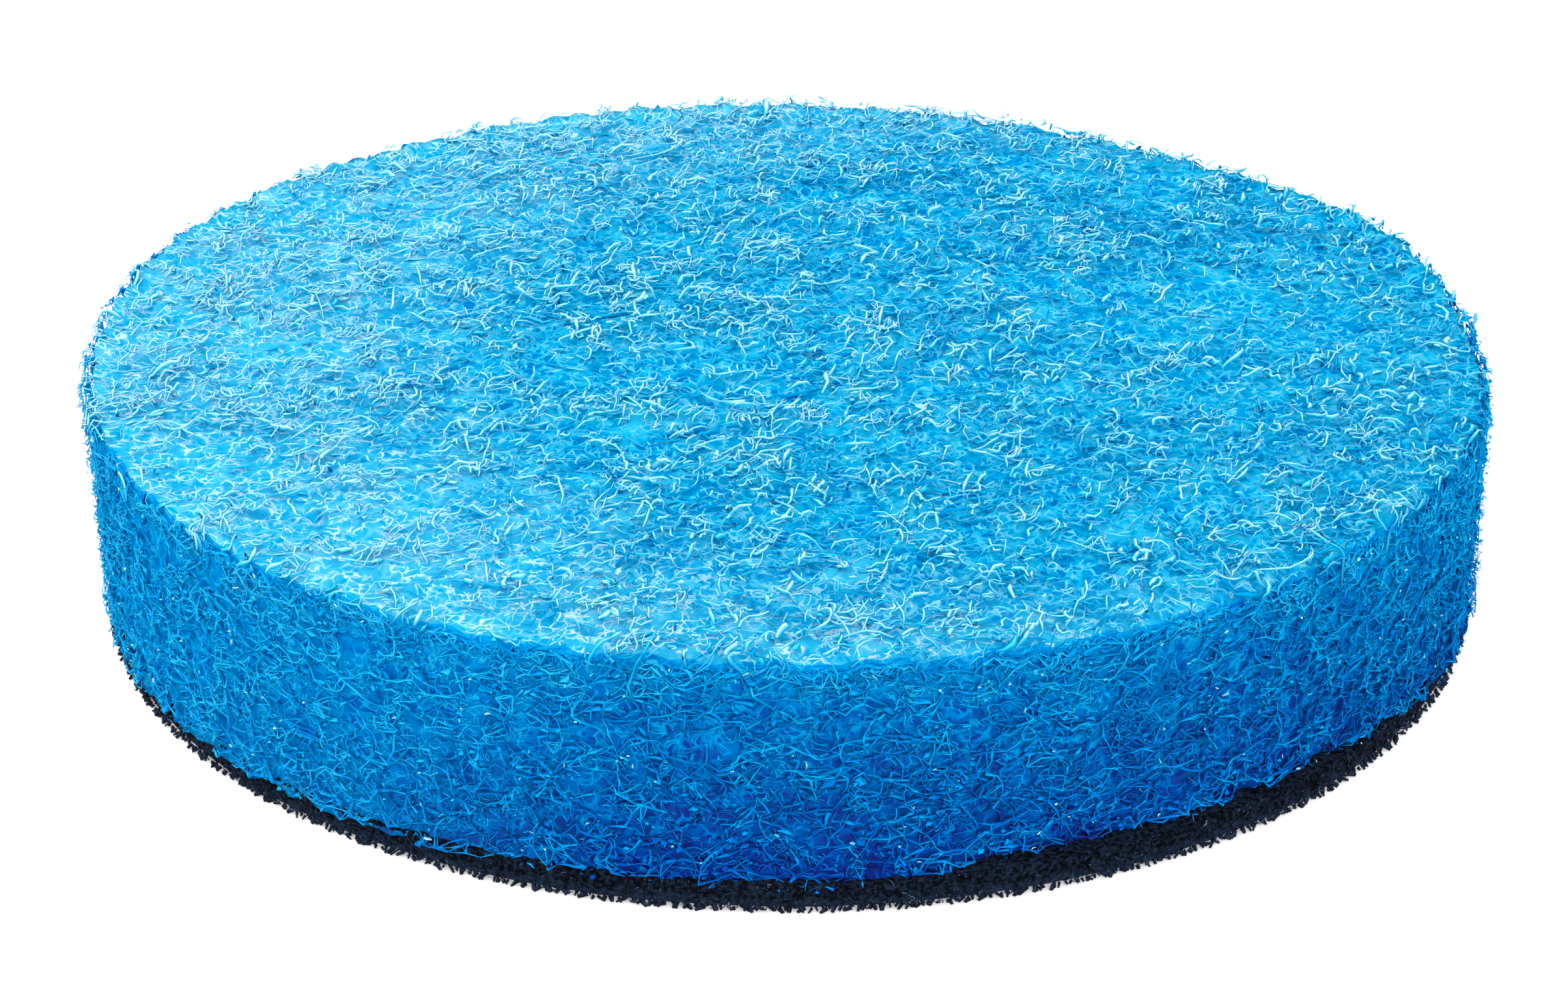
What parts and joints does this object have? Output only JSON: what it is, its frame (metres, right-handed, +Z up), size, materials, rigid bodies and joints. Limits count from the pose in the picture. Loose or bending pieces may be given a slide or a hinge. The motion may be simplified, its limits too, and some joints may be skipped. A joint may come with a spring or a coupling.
{
  "type": "scrub pad",
  "caption": "Round scrub pad: a thick blue non-woven scouring disc laminated to black loop cloth that grips a hook plate.",
  "frame": {"origin": "middle of the box round the pad, at the loop cloth's lower face", "axes": "+Z up out of the scouring face, along the disc's axis; X and Y in the plane of the disc"},
  "size_m": [0.0748, 0.0749, 0.0134],
  "materials": {
    "blue_nonwoven": "resin-bonded fibre, glossy on each strand",
    "black_loop_cloth": "napped, matt"
  },
  "bodies": {
    "root": {"fibre_web": "blue_nonwoven", "loop_backing": "black_loop_cloth"}
  },
  "joints": []
}
